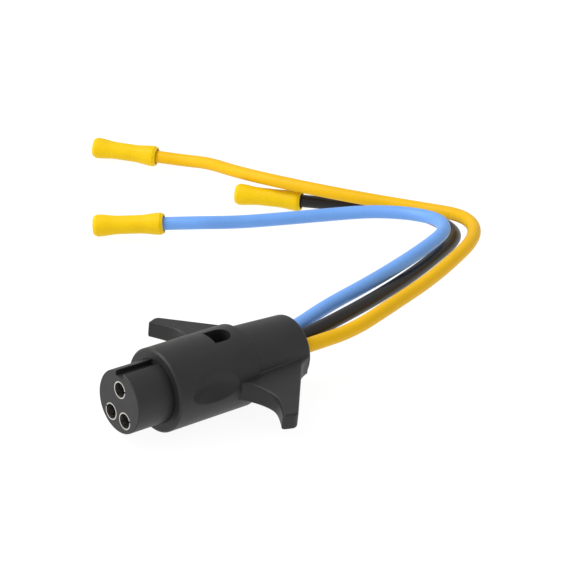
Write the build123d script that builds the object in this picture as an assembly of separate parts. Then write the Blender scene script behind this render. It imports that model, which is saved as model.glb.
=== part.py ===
"""Three-pole moulded power plug for a trailer, with three leads and crimp butt connectors.

Frame: millimetres, +Z up.  The plug's axis lies along Y, its nose points to -Y and its wings to +X
and -X.  The origin is under the middle of the plug, on the surface that the plug lies on.
"""
from build123d import *
import math
import os

os.makedirs("parts", exist_ok=True)

# ---- plug: overall sizes -------------------------------------------------------------------------
nose_radius = 10.6
nose_length = 13.8
barrel_radius = 14.0
barrel_length = 32.6
boot_front_radius = 12.5
boot_rear_radius = 11.5
boot_length = 24.7
boot_step = 1.4            # length of the sloping step from the barrel down to the boot
rim_round = 1.6            # rounding of the boot's rear rim
edge_round = 0.6
shoulder_relief_gap = 0.2  # shallow groove in the barrel's front face, round the nose
shoulder_relief_depth = 0.3

body_length = nose_length + barrel_length + boot_length
axis_z = barrel_radius     # the barrel lies on z = 0
nose_face_y = -body_length / 2
barrel_front_y = nose_face_y + nose_length
boot_front_y = barrel_front_y + barrel_length
boot_end_y = boot_front_y + boot_length

# ---- finger wings --------------------------------------------------------------------------------
wing_root_thickness = 7.0  # at the barrel's side
wing_tip_thickness = 5.6
wing_drop = 1.05           # the wings' mid-plane lies this far under the axis
wing_round = 0.8
wing_root_blend = 1.0      # fillet between the wings' faces and the boot

# Outline of the +X wing: distance from the axis, and distance behind the barrel's rear end.
front_root = (11.5, -12.0)
front_bend = (15.2, -6.3)
front_hollow = (22.4, -3.3)
front_tip = (34.2, -7.6)
tip_nose = (35.0, -8.2)
tip_corner = (35.9, -7.7)
tip_side = (36.9, -5.0)
tip_bulge = (36.9, -3.7)
rear_tip = (36.2, -2.6)
rear_root = (14.6, 17.4)
fairing_middle = (12.8, 20.2)
fairing_overhang = 0.1     # the fairing ends this far outside the boot's rear rim

# ---- finger scoops in the barrel, above the wings' mid-plane ---------------------------------------
scoop_radius = 17.5
scoop_depth = 3.3
scoop_from_front = 14.5
scoop_height = 12.0
scoop_floor_drop = 0.7     # its lowest point lies this far under the wings' mid-plane
scoop_floor_round = 6.0
scoop_edge_round = 1.0

# ---- latch slot on top ---------------------------------------------------------------------------
slot_from_rear = 3.9       # from the slot's rear end to the barrel's rear end
slot_width = 7.0
slot_length = 7.9
slot_depth = 4.7
slot_offset = 0.5

# ---- contact carrier inside the barrel -------------------------------------------------------------
neck_radius = 10.0         # in the locking groove, between the nose and the flange
flange_radius = 11.9
flange_start = 2.0         # behind the barrel's front face
flange_length = 3.0
stub_radius = 9.6
stub_length = 10.5         # behind the barrel's front face
keyway_width = 3.8
keyway_depth = 1.9
keyway_offset = -0.7

# ---- socket contacts -------------------------------------------------------------------------------
contact_radius = 2.9
contact_wall = 0.4
contact_bore_depth = 13.5
contact_tube_length = 19.0
contact_slit = 0.6
contact_slit_length = 13.0
crimp_radius = 2.5
crimp_length = 13.0        # neck and crimp barrel, behind the tube
bore_clearance = 0.05
contact_places = {"left": (-3.6, -5.15), "top": (0.0, 4.4), "right": (3.6, -5.15)}
slit_angles = {"left": 160.0, "top": 8.0, "right": 20.0}

contact_rear_y = nose_face_y + contact_tube_length + crimp_length

# ---- leads -----------------------------------------------------------------------------------------
lead_radius = 2.525
strand_radius = 1.6
jacket_bore_clearance = 0.15
strip_length = 2.0         # bare strands between crimp and jacket
crimp_grip = 8.5           # strands held inside the contact's crimp
inner_run = 10.0           # straight run behind the crimp, before the leads draw together

# ---- crimp butt connectors ---------------------------------------------------------------------------
sleeve_length = 27.0
sleeve_end_radius = 4.25
sleeve_lip_length = 1.2    # the rounded lip at each end
sleeve_lip_round = 0.5
sleeve_waist_radius = 3.55
sleeve_waist_rise = 0.12   # the waist is this much wider where the flares start
sleeve_flare_length = 7.5
sleeve_mouth_bore = 3.1
jacket_inset = 6.0         # jacket pushed into the sleeve, up to the metal barrel
barrel_tube_length = 15.0
barrel_tube_radius = 2.6
open_bore_radius = 1.9     # the half that waits for the trailer's wire; the other is crimped down
barrel_grip = 7.0          # strands held inside the metal barrel
cut_over = 1.0             # cutting tools stand this far outside the solid they cut

jacket_start_y = contact_rear_y + strip_length

# Route of each lead's free stretch, from inside the boot to just before its butt connector.
free_routes = {
    "blue": [
        (-5.4, 23.0, 16.2), (-5.4, 40.0, 16.2), (-10.9, 60.8, 17.6), (-13.3, 83.5, 19.9),
        (-15.4, 104.4, 23.5), (-18.5, 119.9, 25.7), (-22.9, 129.7, 25.6), (-29.9, 135.1, 25.1),
        (-38.4, 136.5, 23.4), (-48.4, 133.3, 21.6), (-59.0, 125.6, 19.5), (-69.3, 113.6, 16.5),
        (-79.0, 99.1, 14.0), (-87.9, 84.1, 12.2), (-97.63, 70.59, 11.07),
    ],
    "black": [
        (0.0, 23.0, 16.2), (0.0, 40.0, 16.2), (-2.7, 63.0, 17.6), (-8.2, 86.6, 17.6),
        (-14.8, 108.1, 17.3), (-21.0, 126.6, 18.0), (-27.1, 140.2, 17.5), (-34.6, 148.1, 15.8),
        (-44.8, 151.4, 14.7), (-56.2, 150.8, 13.9), (-67.5, 147.2, 12.7), (-78.3, 141.1, 11.0),
        (-89.6, 133.02, 8.41),
    ],
    "yellow": [
        (5.4, 23.0, 16.2), (5.4, 40.0, 16.2), (5.8, 58.9, 16.6), (1.8, 80.6, 18.9),
        (-3.3, 103.2, 20.4), (-9.3, 122.6, 22.3), (-15.1, 137.0, 23.4), (-23.0, 145.9, 23.9),
        (-33.9, 149.5, 23.0), (-47.4, 146.8, 20.2), (-65.0, 139.0, 17.9), (-85.9, 129.1, 15.8),
        (-107.6, 120.6, 13.6), (-127.1, 115.9, 11.0), (-142.6, 114.3, 9.1), (-155.07, 110.71, 6.05),
    ],
}
last_run = 17.0            # straight run into the butt connector
# Each butt connector's direction: degrees from +X towards +Y, and degrees above the horizontal.
lead_heading = {"blue": (-136.63, -10.24), "black": (-147.13, -6.25), "yellow": (-144.9, -2.67)}
lead_contact = {"blue": "left", "black": "top", "yellow": "right"}


def along_y(radius, start, end, x=0.0, z=axis_z):
    """A round bar along Y."""
    bar = Cylinder(radius, end - start, align=(Align.CENTER, Align.CENTER, Align.MIN))
    return Pos(x, start, z) * Rot(-90, 0, 0) * bar


def turned(profile, start_y=0.0):
    """A solid of revolution about the plug's axis, from (radius, distance) points."""
    face = make_face(Polyline(*[(r, d) for r, d in profile], close=True))
    return Pos(0, start_y, axis_z) * revolve(face, Axis.Y)


# ---- plug body ---------------------------------------------------------------------------------------
def plug_outside():
    boot_start = barrel_length + boot_step
    boot_end = barrel_length + boot_length
    corner = math.sin(math.radians(45)) * rim_round
    profile = Polyline(
        (0, 0),
        (barrel_radius - edge_round, 0),
        (barrel_radius, edge_round),
        (barrel_radius, barrel_length),
        (boot_front_radius, boot_start),
        (boot_rear_radius, boot_end - rim_round),
    )
    rim = ThreePointArc(
        (boot_rear_radius, boot_end - rim_round),
        (boot_rear_radius - rim_round + corner, boot_end - rim_round + corner),
        (boot_rear_radius - rim_round, boot_end),
    )
    close = Polyline((boot_rear_radius - rim_round, boot_end), (0, boot_end), (0, 0))
    face = make_face([profile, rim, close])
    return Pos(0, barrel_front_y, axis_z) * revolve(face, Axis.Y)


def wing_outline():
    """The +X wing in plan: hollow front edge, rounded tip, swept straight rear edge, faired root."""
    fairing_end = (boot_rear_radius + fairing_overhang, boot_length - rim_round)
    front = Spline(front_root, front_bend, front_hollow, front_tip, tangents=[(0.35, 0.94), (0.94, -0.6)])
    tip = Polyline(front_tip, tip_nose, tip_corner, tip_side)
    corner = ThreePointArc(tip_side, tip_bulge, rear_tip)
    rear = Line(rear_tip, rear_root)
    fairing = ThreePointArc(rear_root, fairing_middle, fairing_end)
    root = Polyline(fairing_end, (0, fairing_end[1]), (0, front_root[1]), front_root)
    return Pos(0, boot_front_y) * make_face([front, tip, corner, rear, fairing, root])


def wing():
    """The outline's prism, cut to a taper from root to tip, with its outer edges rounded."""
    prism = extrude(wing_outline(), amount=2 * axis_z)
    slope = (wing_root_thickness - wing_tip_thickness) / 2 / (tip_side[0] - barrel_radius)
    middle = wing_root_thickness / 2 + barrel_radius * slope
    reach = 2 * tip_side[0]
    end = middle - reach * slope
    taper = make_face(Polyline((0, middle), (reach, end), (reach, -end), (0, -middle), close=True))
    section = Plane((0, boot_end_y, axis_z - wing_drop), x_dir=(1, 0, 0), z_dir=(0, -1, 0))
    plate = prism & extrude(section * taper, amount=body_length)
    rising = plate.edges().filter_by(Axis.Z)
    outer_edges = [edge for edge in plate.edges() - rising if edge.center().X > boot_rear_radius]
    return fillet(outer_edges, wing_round)


def root_section(radius, height, y):
    """Room between a flat at this height and the round boot, closed by a tangent blend."""
    blend = wing_root_blend
    centre_x = math.sqrt((radius + blend) ** 2 - (height + blend) ** 2)
    scale = radius / (radius + blend)
    on_boot = Vector(centre_x, height + blend) * scale
    middle = on_boot + Vector(centre_x, height)
    away = (middle * 0.5 - Vector(centre_x, height + blend)).normalized() * blend
    low_point = Vector(centre_x, height + blend) + away
    arc = ThreePointArc((centre_x, height), (low_point.X, low_point.Y), (on_boot.X, on_boot.Y))
    close = Polyline((on_boot.X, on_boot.Y), (0, 0), (centre_x, height))
    return Plane((0, y, axis_z), x_dir=(1, 0, 0), z_dir=(0, -1, 0)) * make_face([arc, close])


def root_blend(height):
    """The concave blend along one face of the +X wing's root, at this height above the axis."""
    start = boot_front_y - edge_round
    end = boot_end_y - rim_round
    blend = loft([
        root_section(boot_front_radius, height, start),
        root_section(boot_rear_radius, height, end),
    ])
    prism = extrude(wing_outline(), amount=2 * axis_z)
    return blend & prism


def scoop():
    """A finger recess with soft edges in the +X side of the barrel, above the wings' mid-plane."""
    centre_x = barrel_radius - scoop_depth + scoop_radius
    tool = Cylinder(scoop_radius, scoop_height, align=(Align.CENTER, Align.CENTER, Align.MIN))
    tool = fillet(tool.edges().group_by(Axis.Z)[0], scoop_floor_round)
    floor_z = axis_z - wing_drop - scoop_floor_drop
    return Pos(centre_x, barrel_front_y + scoop_from_front, floor_z) * tool


def latch_slot():
    """Flat front edge, half-round rear end."""
    half = slot_width / 2
    rear = boot_front_y - slot_from_rear
    front = rear - slot_length
    bend = rear - half
    outline = Polyline((half, bend), (half, front), (-half, front), (-half, bend))
    end = ThreePointArc((-half, bend), (0, rear), (half, bend))
    tool = extrude(make_face([outline, end]), amount=slot_depth + cut_over)
    return Pos(slot_offset, 0, axis_z + barrel_radius - slot_depth) * tool


def plug_body(carrier_room, inner_pieces):
    barrel = plug_outside()
    right_scoop = scoop()
    barrel -= [right_scoop, mirror(right_scoop, Plane.YZ)]
    scoop_edges = barrel.edges().filter_by(GeomType.BSPLINE)
    barrel = fillet(scoop_edges, scoop_edge_round)
    relief_radius = nose_radius + shoulder_relief_gap
    relief_end = barrel_front_y + shoulder_relief_depth
    barrel -= [latch_slot(), along_y(relief_radius, barrel_front_y, relief_end)]
    upper = wing_root_thickness / 2 - wing_drop
    lower = wing_root_thickness / 2 + wing_drop
    under = mirror(root_blend(lower), Plane.XY.offset(axis_z))
    right_side = wing() + [root_blend(upper), under]
    body = barrel + [right_side, mirror(right_side, Plane.YZ)]
    return body - [carrier_room] - inner_pieces


# ---- contact carrier -----------------------------------------------------------------------------------
def carrier_blank():
    """The moulded nose, its locking flange and the stub that the barrel is moulded round."""
    face_round = edge_round / 2
    flange_front = nose_length + flange_start
    flange_rear = flange_front + flange_length
    return turned([
        (0, 0),
        (nose_radius - face_round, 0),
        (nose_radius, face_round),
        (nose_radius, nose_length),
        (neck_radius, nose_length),
        (neck_radius, flange_front),
        (flange_radius, flange_front),
        (flange_radius, flange_rear),
        (stub_radius, flange_rear),
        (stub_radius, nose_length + stub_length),
        (0, nose_length + stub_length),
    ], nose_face_y)


def contact_carrier():
    keyway = Box(keyway_width, nose_length, keyway_depth * 2)
    keyway_y = nose_face_y + nose_length / 2
    carrier = carrier_blank() - Pos(keyway_offset, keyway_y, axis_z + nose_radius) * keyway
    tube_end_y = nose_face_y + contact_tube_length
    stub_end_y = barrel_front_y + stub_length
    for x, z in contact_places.values():
        front = along_y(contact_radius + bore_clearance, nose_face_y, tube_end_y, x, axis_z + z)
        rear = along_y(crimp_radius, tube_end_y, stub_end_y, x, axis_z + z)
        carrier -= [front, rear]
    return carrier


# ---- socket contacts -------------------------------------------------------------------------------------
def socket_contact(place):
    """A rolled, slit tube with a neck and a round crimp barrel, turned from one strip."""
    x, z = contact_places[place]
    tube_end_y = nose_face_y + contact_tube_length
    tube = along_y(contact_radius, nose_face_y, tube_end_y)
    tube += along_y(crimp_radius, tube_end_y, contact_rear_y)
    bore_end_y = nose_face_y + contact_bore_depth
    tube -= along_y(contact_radius - contact_wall, nose_face_y, bore_end_y)
    tube -= along_y(strand_radius, contact_rear_y - crimp_grip, contact_rear_y)
    reach = contact_radius + cut_over
    slit_align = (Align.MIN, Align.MIN, Align.CENTER)
    slit = Box(reach, contact_slit_length, contact_slit, align=slit_align)
    slit = Pos(0, nose_face_y, axis_z) * Rot(0, -slit_angles[place], 0) * slit
    return Pos(x, 0, z) * (tube - slit)


# ---- leads -------------------------------------------------------------------------------------------------
def heading(colour):
    turn, rise = (math.radians(angle) for angle in lead_heading[colour])
    level = math.cos(rise)
    return Vector(level * math.cos(turn), level * math.sin(turn), math.sin(rise))


def jacket_end(colour):
    return Vector(*free_routes[colour][-1]) + heading(colour) * last_run


def route(colour, start_y, end_extra):
    """Corner points of one lead, from inside the plug to inside its butt connector."""
    x, z = contact_places[lead_contact[colour]]
    behind = jacket_start_y + inner_run
    inside = [Vector(x, start_y, axis_z + z), Vector(x, behind, axis_z + z)]
    outside = [Vector(*point) for point in free_routes[colour]]
    return inside + outside + [jacket_end(colour) + heading(colour) * end_extra]


def corner_radii(points):
    radii = []
    for before, corner, after in zip(points, points[1:], points[2:]):
        turn = (corner - before).get_angle(after - corner)
        shorter = min((corner - before).length, (after - corner).length)
        radii.append(0.45 * shorter / math.tan(math.radians(turn / 2)))
    return radii


def lead_path(colour, start_y, end_extra=0.0):
    """Straight runs and tangent arcs; the strands share the jacket's arcs, and only end further out."""
    radii = corner_radii(route(colour, jacket_start_y, 0))
    return FilletPolyline(*route(colour, start_y, end_extra), radius=radii)


def along_path(path, section):
    return sweep(Plane(path @ 0, z_dir=path % 0) * section, path=path)


def lead_jacket(colour):
    path = lead_path(colour, jacket_start_y)
    ring = Circle(lead_radius) - Circle(strand_radius + jacket_bore_clearance)
    return along_path(path, ring)


def lead_strands(colour):
    path = lead_path(colour, contact_rear_y - crimp_grip, barrel_grip)
    return along_path(path, Circle(strand_radius))


def boot_stretch(colour):
    """The room that a lead fills inside the plug, up to the boot's rear face."""
    x, z = contact_places[lead_contact[colour]]
    bare = along_y(strand_radius, contact_rear_y, jacket_start_y, x, axis_z + z)
    points = route(colour, jacket_start_y, 0)[:5]
    path = FilletPolyline(*points, radius=corner_radii(points))
    return [bare, along_path(path, Circle(lead_radius))]


# ---- butt connectors ---------------------------------------------------------------------------------------
def connector_plane(colour):
    mouth = jacket_end(colour) - heading(colour) * jacket_inset
    return Plane(mouth, z_dir=heading(colour))


def butt_sleeve(colour):
    """Vinyl sleeve: belled ends, a long waist, open at both ends."""
    lip_radius = sleeve_end_radius - sleeve_lip_round
    shoulder_radius = sleeve_waist_radius + sleeve_waist_rise
    outside = Spline(
        (sleeve_end_radius, sleeve_lip_length),
        (shoulder_radius, sleeve_flare_length),
        (sleeve_waist_radius, sleeve_length / 2),
        (shoulder_radius, sleeve_length - sleeve_flare_length),
        (sleeve_end_radius, sleeve_length - sleeve_lip_length),
        tangents=[(0, 1), (0, 1)],
    )
    far_end = jacket_inset + barrel_tube_length
    inside = Polyline(
        (sleeve_end_radius, sleeve_length - sleeve_lip_length),
        (lip_radius, sleeve_length),
        (sleeve_mouth_bore, sleeve_length),
        (sleeve_mouth_bore, far_end),
        (barrel_tube_radius, far_end),
        (barrel_tube_radius, jacket_inset),
        (sleeve_mouth_bore, jacket_inset),
        (sleeve_mouth_bore, 0),
        (lip_radius, 0),
        (sleeve_end_radius, sleeve_lip_length),
    )
    face = make_face([outside, inside])
    return connector_plane(colour).location * (Rot(90, 0, 0) * revolve(face, Axis.Y))


def along_z(radius, start, end):
    bar = Cylinder(radius, end - start, align=(Align.CENTER, Align.CENTER, Align.MIN))
    return Pos(0, 0, start) * bar


def butt_barrel(colour):
    """Tinned copper tube: one half is crimped on the strands, the other is open for a wire."""
    far_end = jacket_inset + barrel_tube_length
    tube = along_z(barrel_tube_radius, jacket_inset, far_end)
    tube -= along_z(strand_radius, jacket_inset, jacket_inset + barrel_grip)
    tube -= along_z(open_bore_radius, jacket_inset + barrel_grip, far_end)
    return connector_plane(colour).location * tube


# ---- build and write ---------------------------------------------------------------------------------------
pieces = {}
carrier_room = carrier_blank()
inner_pieces = []
for place, (x, z) in contact_places.items():
    crimp_start = barrel_front_y + stub_length
    inner_pieces.append(along_y(crimp_radius, crimp_start, contact_rear_y, x, axis_z + z))
    pieces["socket_contact_" + place] = socket_contact(place)
for colour in free_routes:
    inner_pieces += boot_stretch(colour)
    pieces[colour + "_lead_jacket"] = lead_jacket(colour)
    pieces[colour + "_lead_strands"] = lead_strands(colour)
    pieces[colour + "_butt_sleeve"] = butt_sleeve(colour)
    pieces[colour + "_butt_barrel"] = butt_barrel(colour)
pieces["contact_carrier"] = contact_carrier()
pieces["plug_body"] = plug_body(carrier_room, inner_pieces)

for name, piece in pieces.items():
    piece.label = name
    export_step(piece, "parts/" + name + ".step")

for colour in free_routes:
    points = route(colour, jacket_start_y, 0)
    path = lead_path(colour, jacket_start_y)
    section = math.pi * (lead_radius ** 2 - (strand_radius + jacket_bore_clearance) ** 2)
    print(colour, "length", round(path.length, 1), "radii", [round(r, 1) for r in corner_radii(points)])
    print("  volume", round(pieces[colour + "_lead_jacket"].volume), "of", round(section * path.length))
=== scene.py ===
"""Trailer wiring connector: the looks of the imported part, its leads, floor, lights and camera.

Metres, in the part's own frame: +Z up, the plug's nose towards -Y, its wings towards +X and -X.
"""
import math

import bpy
from mathutils import Matrix, Vector


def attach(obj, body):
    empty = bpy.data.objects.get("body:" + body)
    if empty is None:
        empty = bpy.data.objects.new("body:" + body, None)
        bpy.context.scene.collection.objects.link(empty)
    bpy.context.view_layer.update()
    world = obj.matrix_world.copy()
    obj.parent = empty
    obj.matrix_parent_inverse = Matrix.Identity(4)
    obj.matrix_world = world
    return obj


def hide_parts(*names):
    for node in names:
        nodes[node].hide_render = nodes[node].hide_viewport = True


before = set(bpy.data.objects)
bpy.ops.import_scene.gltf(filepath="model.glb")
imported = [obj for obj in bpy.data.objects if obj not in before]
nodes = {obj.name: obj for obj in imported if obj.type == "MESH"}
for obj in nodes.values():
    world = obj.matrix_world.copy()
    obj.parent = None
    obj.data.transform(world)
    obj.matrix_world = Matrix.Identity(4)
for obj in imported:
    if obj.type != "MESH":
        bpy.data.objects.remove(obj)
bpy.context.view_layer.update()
MM = 0.001

# ---- camera ------------------------------------------------------------------------------------------
CAMERA_AZIMUTH = math.radians(46.794)
CAMERA_ELEVATION = math.radians(26.724)
CAMERA_ROLL = math.radians(6.237)
CAMERA_LENS = 126.66            # millimetres
SENSOR_WIDTH = 36
CAMERA_DISTANCE = 0.640
CAMERA_ASIDE = 0.04188          # of the plug's front, along the picture's width
CAMERA_ABOVE = 0.03377
LOOK_FROM = Vector((0, -0.02175, 0.014))


def make_camera():
    a, e, roll = CAMERA_AZIMUTH, CAMERA_ELEVATION, CAMERA_ROLL
    back = Vector((math.sin(a) * math.cos(e), -math.cos(a) * math.cos(e), math.sin(e)))
    level = Vector((math.cos(a), math.sin(a), 0))
    upright = back.cross(level)
    right = math.cos(roll) * level + math.sin(roll) * upright
    up = math.cos(roll) * upright - math.sin(roll) * level
    camera = bpy.data.objects.new("camera", bpy.data.cameras.new("camera"))
    bpy.context.scene.collection.objects.link(camera)
    turn = Matrix((right, up, back)).transposed().to_4x4()
    place = LOOK_FROM + back * CAMERA_DISTANCE + right * CAMERA_ASIDE + up * CAMERA_ABOVE
    camera.matrix_world = Matrix.Translation(place) @ turn
    camera.data.lens = CAMERA_LENS
    camera.data.sensor_width = SENSOR_WIDTH
    camera.data.clip_start = 0.01
    camera.data.clip_end = 20
    bpy.context.scene.camera = camera


make_camera()

# ---- leads: the same points as the CAD routes ----------------------------------------------------------
# Points, INNER_Y, EXIT_Y and LAST_RUN are in millimetres, and each length is in metres.  A heading is
# the butt connector's direction: degrees from +X towards +Y, and degrees above the horizontal.
LEAD_DIAMETER = 5.05 * MM
STEPS_PER_POINT = 12
STEPS_ROUND = 10
LAST_RUN = 17.0                 # straight run into the butt connector
INNER_Y = 8.45                  # where the tube starts, inside the boot
LEADS = {
    "blue": {
        "inside": (-3.6, 8.85), "heading": (-136.63, -10.24), "length": 0.251,
        "points": [
            (-5.4, 23.0, 16.2), (-5.4, 40.0, 16.2), (-10.9, 60.8, 17.6), (-13.3, 83.5, 19.9),
            (-15.4, 104.4, 23.5), (-18.5, 119.9, 25.7), (-22.9, 129.7, 25.6), (-29.9, 135.1, 25.1),
            (-38.4, 136.5, 23.4), (-48.4, 133.3, 21.6), (-59.0, 125.6, 19.5), (-69.3, 113.6, 16.5),
            (-79.0, 99.1, 14.0), (-87.9, 84.1, 12.2), (-97.63, 70.59, 11.07),
        ],
    },
    "black": {
        "inside": (0.0, 18.4), "heading": (-147.13, -6.25), "length": 0.224,
        "points": [
            (0.0, 23.0, 16.2), (0.0, 40.0, 16.2), (-2.7, 63.0, 17.6), (-8.2, 86.6, 17.6),
            (-14.8, 108.1, 17.3), (-21.0, 126.6, 18.0), (-27.1, 140.2, 17.5), (-34.6, 148.1, 15.8),
            (-44.8, 151.4, 14.7), (-56.2, 150.8, 13.9), (-67.5, 147.2, 12.7), (-78.3, 141.1, 11.0),
            (-89.6, 133.02, 8.41),
        ],
    },
    "yellow": {
        "inside": (3.6, 8.85), "heading": (-144.9, -2.67), "length": 0.302,
        "points": [
            (5.4, 23.0, 16.2), (5.4, 40.0, 16.2), (5.8, 58.9, 16.6), (1.8, 80.6, 18.9),
            (-3.3, 103.2, 20.4), (-9.3, 122.6, 22.3), (-15.1, 137.0, 23.4), (-23.0, 145.9, 23.9),
            (-33.9, 149.5, 23.0), (-47.4, 146.8, 20.2), (-65.0, 139.0, 17.9), (-85.9, 129.1, 15.8),
            (-107.6, 120.6, 13.6), (-127.1, 115.9, 11.0), (-142.6, 114.3, 9.1),
            (-155.07, 110.71, 6.05),
        ],
    },
}


def heading(colour):
    turn, rise = (math.radians(angle) for angle in LEADS[colour]["heading"])
    level = math.cos(rise)
    return Vector((level * math.cos(turn), level * math.sin(turn), math.sin(rise)))


def lead_end(colour):
    """Centre of the jacket's end, in millimetres."""
    return Vector(LEADS[colour]["points"][-1]) + heading(colour) * LAST_RUN


def shape_of(thing):
    """A mesh copy of an object as it is now, in metres."""
    graph = bpy.context.evaluated_depsgraph_get()
    return bpy.data.meshes.new_from_object(thing.evaluated_get(graph))


def lead_tube(colour):
    """One lead as a smooth tube, and the line that it follows."""
    lead = LEADS[colour]
    inside = Vector((lead["inside"][0], INNER_Y, lead["inside"][1]))
    points = [inside] + [Vector(p) for p in lead["points"]] + [lead_end(colour)]
    curve = bpy.data.curves.new(colour + "_lead", "CURVE")
    curve.dimensions = "3D"
    curve.resolution_u = STEPS_PER_POINT
    spline = curve.splines.new("NURBS")
    spline.points.add(len(points) - 1)
    for control, point in zip(spline.points, points):
        control.co = (*(point * MM), 1)
    spline.order_u = 3
    spline.use_endpoint_u = True
    spline.use_smooth = True
    guide = bpy.data.objects.new(colour + "_guide", curve)
    bpy.context.scene.collection.objects.link(guide)
    line = [tuple(vertex.co) for vertex in shape_of(guide).vertices]
    curve.bevel_depth = LEAD_DIAMETER / 2
    curve.bevel_resolution = STEPS_ROUND
    curve.use_fill_caps = True
    bpy.context.view_layer.update()
    tube = shape_of(guide)
    bpy.data.objects.remove(guide)
    lead_object = bpy.data.objects.new(colour + "_lead", tube)
    bpy.context.scene.collection.objects.link(lead_object)
    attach(lead_object, "root")
    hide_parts(colour + "_lead_jacket")
    return lead_object


leads = {colour: lead_tube(colour) for colour in LEADS}


# ---- materials -----------------------------------------------------------------------------------------
# Noise scales are in features per metre, and bump heights in metres.
BODY_TONE_SCALE = 90
BODY_GLOSS_SCALE = 260
BODY_GLOSS_SPREAD = 0.06
GRAIN_SCALE = 5200
GRAIN_HEIGHT = 0.00004
WIRE_TONE_SCALE = 70
WAVE_SCALE = 420
WAVE_STRENGTH = 0.12
WAVE_HEIGHT = 0.0002
GLOW_DEPTH = (0.0012, 0.0009, 0.0002)      # how far light goes into vinyl: red, green, blue
METAL_TONE_SCALE = 900
METAL_DARK_SHARE = 0.85
TONE_LOW_AT = 0.3                          # where in the noise the dark and the light tone lie
TONE_HIGH_AT = 0.7


def new_material(name):
    material = bpy.data.materials.new(name)
    material.use_nodes = True
    tree = material.node_tree
    shader = tree.nodes["Principled BSDF"]
    return material, tree, shader


def noise(tree, scale, detail=3.0, roughness=0.55):
    coordinates = tree.nodes.new("ShaderNodeTexCoord")
    texture = tree.nodes.new("ShaderNodeTexNoise")
    texture.inputs["Scale"].default_value = scale
    texture.inputs["Detail"].default_value = detail
    texture.inputs["Roughness"].default_value = roughness
    tree.links.new(coordinates.outputs["Object"], texture.inputs["Vector"])
    return texture


def two_tones(tree, shader, texture, low, high):
    """The shader's colour goes from the low tone to the high one with the texture."""
    node = tree.nodes.new("ShaderNodeValToRGB")
    dark, light = node.color_ramp.elements
    dark.position, dark.color = TONE_LOW_AT, (*low, 1)
    light.position, light.color = TONE_HIGH_AT, (*high, 1)
    tree.links.new(texture.outputs["Fac"], node.inputs["Fac"])
    tree.links.new(node.outputs["Color"], shader.inputs["Base Color"])


def bumped(tree, shader, texture, strength, height):
    bump = tree.nodes.new("ShaderNodeBump")
    bump.inputs["Strength"].default_value = strength
    bump.inputs["Distance"].default_value = height
    tree.links.new(texture.outputs["Fac"], bump.inputs["Height"])
    tree.links.new(bump.outputs["Normal"], shader.inputs["Normal"])


def moulded_plastic(name, base, roughness, grain_strength, shine=0.4, spread=0.15):
    """Satin black plastic: faint tone change, fine grain, roughness that wanders a little."""
    material, tree, shader = new_material(name)
    low = [c * (1 - spread) for c in base]
    high = [c * (1 + spread) for c in base]
    two_tones(tree, shader, noise(tree, BODY_TONE_SCALE, detail=4), low, high)
    wander = noise(tree, BODY_GLOSS_SCALE, detail=2)
    gloss = tree.nodes.new("ShaderNodeMapRange")
    gloss.inputs["To Min"].default_value = roughness - BODY_GLOSS_SPREAD
    gloss.inputs["To Max"].default_value = roughness + BODY_GLOSS_SPREAD
    tree.links.new(wander.outputs["Fac"], gloss.inputs["Value"])
    tree.links.new(gloss.outputs["Result"], shader.inputs["Roughness"])
    bumped(tree, shader, noise(tree, GRAIN_SCALE, detail=2), grain_strength, GRAIN_HEIGHT)
    shader.inputs["Specular IOR Level"].default_value = shine
    return material


def wire_plastic(name, base, roughness, shine=0.15, spread=0.05, glow=0.0):
    """Extruded PVC: smooth, with slow waviness and a slight change of tone along the lead."""
    material, tree, shader = new_material(name)
    low = [c * (1 - spread) for c in base]
    high = [c * (1 + spread) for c in base]
    two_tones(tree, shader, noise(tree, WIRE_TONE_SCALE), low, high)
    bumped(tree, shader, noise(tree, WAVE_SCALE, detail=2), WAVE_STRENGTH, WAVE_HEIGHT)
    shader.inputs["Roughness"].default_value = roughness
    shader.inputs["Specular IOR Level"].default_value = shine
    shader.inputs["Subsurface Weight"].default_value = glow
    shader.inputs["Subsurface Radius"].default_value = GLOW_DEPTH
    shader.inputs["Subsurface Scale"].default_value = 1.0
    return material


def plated_metal(name, base, roughness):
    """Bright metal with fine darker specks."""
    material, tree, shader = new_material(name)
    low = [c * METAL_DARK_SHARE for c in base]
    two_tones(tree, shader, noise(tree, METAL_TONE_SCALE), low, base)
    shader.inputs["Metallic"].default_value = 1.0
    shader.inputs["Roughness"].default_value = roughness
    return material


BODY_BLACK = (0.013, 0.0122, 0.0128)
CARRIER_BLACK = (0.016, 0.0152, 0.0156)
# The contacts' tin is darker than the barrels' tin: painted shade for the contact rims, which sit deep in
# the carrier's bores.
TIN_SHADED_IN_BORES = (0.62, 0.60, 0.56)
TIN_ON_BARREL = (0.78, 0.77, 0.75)
COPPER = (0.80, 0.42, 0.24)
SLEEVE_YELLOW = (0.77, 0.50, 0.001)
JACKET_BLUE = (0.145, 0.335, 0.75)
JACKET_BLACK = (0.010, 0.0084, 0.0082)
JACKET_YELLOW = (0.76, 0.425, 0.001)

body_plastic = moulded_plastic("body_plastic", BODY_BLACK, roughness=0.5, grain_strength=0.35)
carrier_plastic = moulded_plastic("carrier_plastic", CARRIER_BLACK, roughness=0.52, grain_strength=0.25)
# Darker tin on the contacts: painted shade for their rims inside the bores.
tinned_contact = plated_metal("tinned_contact", TIN_SHADED_IN_BORES, roughness=0.3)
tinned_barrel = plated_metal("tinned_barrel", TIN_ON_BARREL, roughness=0.35)
copper_strands = plated_metal("copper_strands", COPPER, roughness=0.35)
sleeve_vinyl = wire_plastic("sleeve_vinyl", SLEEVE_YELLOW, roughness=0.45, glow=0.15)
jackets = {
    "blue": wire_plastic("blue_jacket", JACKET_BLUE, roughness=0.4, shine=0.3),
    "black": wire_plastic("black_jacket", JACKET_BLACK, roughness=0.38, shine=0.3),
    "yellow": wire_plastic("yellow_jacket", JACKET_YELLOW, roughness=0.4),
}


def paint(piece, material):
    piece.data.materials.clear()
    piece.data.materials.append(material)


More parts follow.
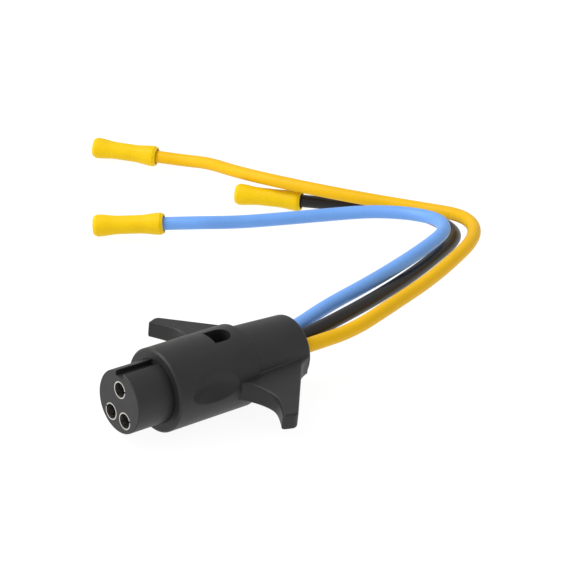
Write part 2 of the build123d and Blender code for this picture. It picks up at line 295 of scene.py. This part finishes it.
paint(nodes["plug_body"], body_plastic)
paint(nodes["contact_carrier"], carrier_plastic)
for place in ("left", "top", "right"):
    paint(nodes["socket_contact_" + place], tinned_contact)
for colour, lead in leads.items():
    paint(lead, jackets[colour])
    paint(nodes[colour + "_lead_strands"], copper_strands)
    paint(nodes[colour + "_butt_sleeve"], sleeve_vinyl)
    paint(nodes[colour + "_butt_barrel"], tinned_barrel)


# ---- floor and light -------------------------------------------------------------------------------------
FLOOR_HALF = 3.0
FLOOR_TONE = (0.13, 0.13, 0.13, 1)
FLOOR_GLOW = 0.92               # lifts the floor to white and leaves a faint shadow
WORLD_STRENGTH = 0.75
LIT_POINT = (-0.04, 0.05, 0.0)
LIGHTS = {
    "key": {"place": (-0.55, -0.45, 0.85), "size": (0.6, 0.6), "power": 7},
    "front": {"place": (-0.45, -0.85, 0.30), "size": (0.5, 0.4), "power": 3},
}


def make_floor():
    mesh = bpy.data.meshes.new("floor")
    half = FLOOR_HALF
    corners = [(-half, -half, 0), (half, -half, 0), (half, half, 0), (-half, half, 0)]
    mesh.from_pydata(corners, [], [(0, 1, 2, 3)])
    floor = bpy.data.objects.new("floor", mesh)
    bpy.context.scene.collection.objects.link(floor)
    material, _, shader = new_material("floor")
    shader.inputs["Base Color"].default_value = FLOOR_TONE
    shader.inputs["Roughness"].default_value = 0.9
    shader.inputs["Specular IOR Level"].default_value = 0.1
    shader.inputs["Emission Color"].default_value = (1, 1, 1, 1)
    shader.inputs["Emission Strength"].default_value = FLOOR_GLOW
    paint(floor, material)


def area_light(name, place, size, power):
    light = bpy.data.lights.new(name, "AREA")
    light.shape = "RECTANGLE"
    light.size, light.size_y = size
    light.energy = power
    lamp = bpy.data.objects.new(name, light)
    bpy.context.scene.collection.objects.link(lamp)
    away = Vector(place) - Vector(LIT_POINT)
    lamp.location = place
    lamp.rotation_mode = "QUATERNION"
    lamp.rotation_quaternion = away.to_track_quat("Z", "Y")


def make_world():
    world = bpy.data.worlds.new("studio")
    world.use_nodes = True
    background = world.node_tree.nodes["Background"]
    background.inputs["Color"].default_value = (1, 1, 1, 1)
    background.inputs["Strength"].default_value = WORLD_STRENGTH
    bpy.context.scene.world = world


make_floor()
make_world()
for name, light in LIGHTS.items():
    area_light(name, **light)

bpy.context.scene.view_settings.view_transform = "Standard"

# ---- last update of the scene ----------------------------------------------------------------------------
bpy.context.view_layer.update()
